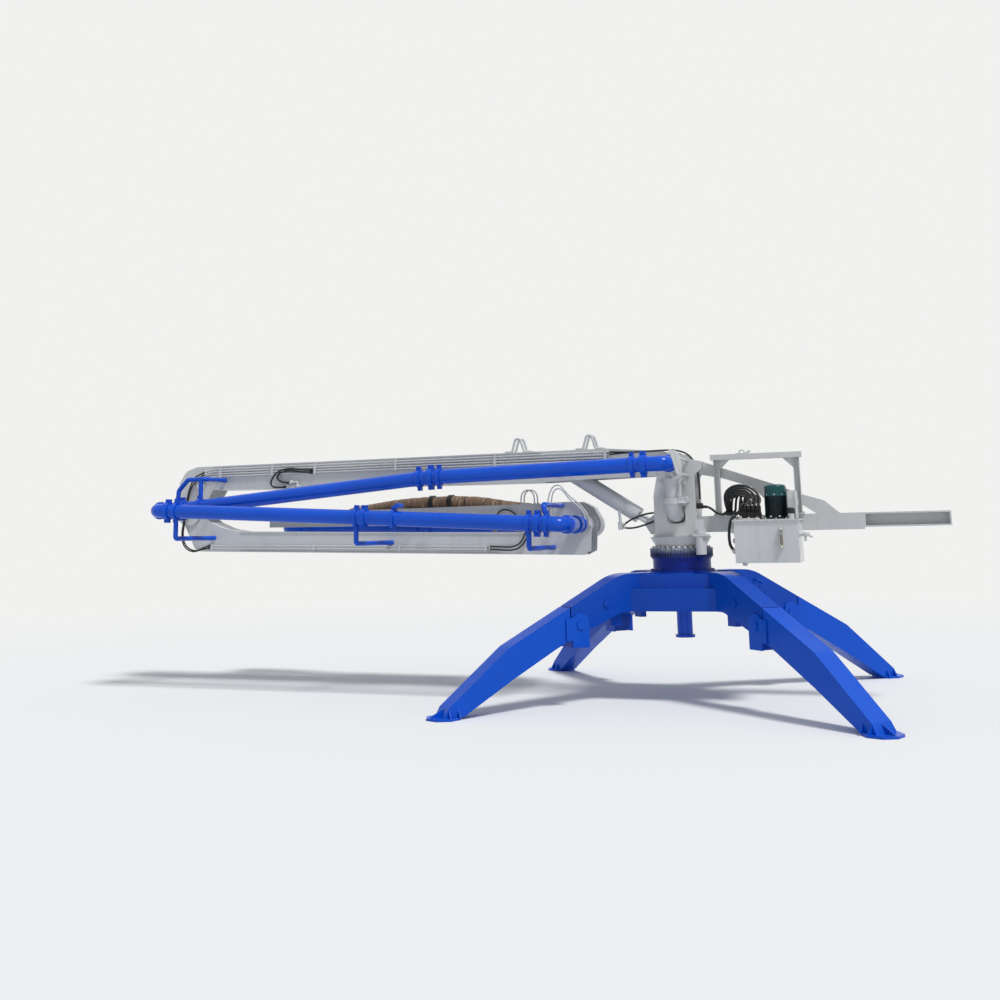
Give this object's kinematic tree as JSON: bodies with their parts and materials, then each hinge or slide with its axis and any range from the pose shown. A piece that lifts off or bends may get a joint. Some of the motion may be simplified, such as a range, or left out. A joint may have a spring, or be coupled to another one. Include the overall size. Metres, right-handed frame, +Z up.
{
  "type": "mobile concrete placing boom",
  "caption": "Folding concrete placing boom on a slewing turret with a counter jib, on a base with splayed legs, with its delivery pipes and end hose.",
  "frame": {"origin": "on the floor under the middle of the machine's length and width; the slew axis stands 1.55 m along +X from it", "axes": "+Z up, X along the folded boom with -X towards its outer knuckle and +X towards the counter jib's end, -Y the side with the delivery pipes"},
  "size_m": [7.81, 3.7, 2.414],
  "materials": {
    "base_paint": "blue gloss paint",
    "pipe_paint": "blue gloss paint",
    "boom_paint": "off-white gloss paint",
    "ring_steel": "greased machined steel",
    "pin_steel": "painted steel",
    "rod_chrome": "hard chrome",
    "motor_paint": "dark green enamel",
    "drive_paint": "dark grey enamel",
    "hose_wrap": "fabric-wrapped rubber"
  },
  "bodies": {
    "base": {"base_frame": "base_paint", "leg_rear_right": "base_paint", "leg_rear_left": "base_paint", "leg_front_left": "base_paint", "leg_front_right": "base_paint", "knee_pins": "pin_steel", "slew_pedestal": "base_paint", "slew_ring": "ring_steel", "inlet_pipe": "pipe_paint"},
    "turret": {"turret_frame": "boom_paint", "turret_ring": "boom_paint", "lift_cylinder_lugs": "boom_paint", "boom_foot_pin": "pin_steel", "slew_drive": "drive_paint", "riser_pipe": "boom_paint", "counter_beam": "boom_paint", "upper_tie": "boom_paint", "oil_tank": "boom_paint", "tank_lid": "boom_paint", "electric_motor": "motor_paint", "valve_block": "drive_paint", "pack_frame": "boom_paint", "switch_cabinet": "boom_paint"},
    "cabinet_door": {"switch_cabinet_door": "boom_paint"},
    "boom_1": {"boom_1_box": "boom_paint", "boom_1_foot": "boom_paint", "boom_1_head": "boom_paint", "boom_1_pipe": "pipe_paint", "boom_1_tubes": "boom_paint", "pipe_1_brackets": "pipe_paint", "lifting_eyes": "boom_paint", "knuckle_1_pin": "pin_steel"},
    "lift_barrel": {"lift_cylinder_barrel": "boom_paint"},
    "lift_rod": {"lift_cylinder_rod": "rod_chrome"},
    "boom_2": {"boom_2_root": "boom_paint", "boom_2_box": "boom_paint", "boom_2_head": "boom_paint", "boom_2_pipe": "pipe_paint", "boom_2_tubes": "boom_paint", "pipe_2_brackets": "pipe_paint"},
    "boom_3": {"boom_3_box": "boom_paint", "boom_3_pipe": "pipe_paint", "pipe_3_brackets": "pipe_paint", "end_hose": "hose_wrap", "hose_saddles": "boom_paint"}
  },
  "joints": [
    {"name": "slew", "type": "hinge", "parent": "base", "child": "turret", "pos_m": [1.55, 0, 1.323], "axis": [0, 0, 1], "range_deg": [-180, 180]},
    {"name": "boom_1_lift", "type": "hinge", "parent": "turret", "child": "boom_1", "pos_m": [1.55, 0, 2.08], "axis": [0, 1, 0], "range_deg": [0, 85]},
    {"name": "lift_barrel_swing", "type": "hinge", "parent": "boom_1", "child": "lift_barrel", "pos_m": [0.48, 0, 2.067], "axis": [0, 1, 0], "range_deg": [-20.1, 0]},
    {"name": "lift_rod_stroke", "type": "slide", "parent": "lift_barrel", "child": "lift_rod", "axis": [0.8423, 0, -0.5391], "range_m": [0, 0.7]},
    {"name": "boom_2_fold", "type": "hinge", "parent": "boom_1", "child": "boom_2", "pos_m": [-3.75, 0, 1.79], "axis": [0, 1, 0], "range_deg": [0, 180]},
    {"name": "boom_3_fold", "type": "hinge", "parent": "boom_2", "child": "boom_3", "pos_m": [0.62, 0.275, 1.555], "axis": [0, 1, 0], "range_deg": [0, 180]},
    {"name": "cabinet_door_hinge", "type": "hinge", "parent": "turret", "child": "cabinet_door", "pos_m": [2.64, -0.429, 1.68], "axis": [0, 0, -1], "range_deg": [0, 110]}
  ],
  "couplings": [
    {"joint": "lift_barrel_swing", "follows": "boom_1_lift", "ratio": -0.235},
    {"joint": "lift_rod_stroke", "follows": "boom_1_lift", "m_per_rad": 0.465}
  ]
}
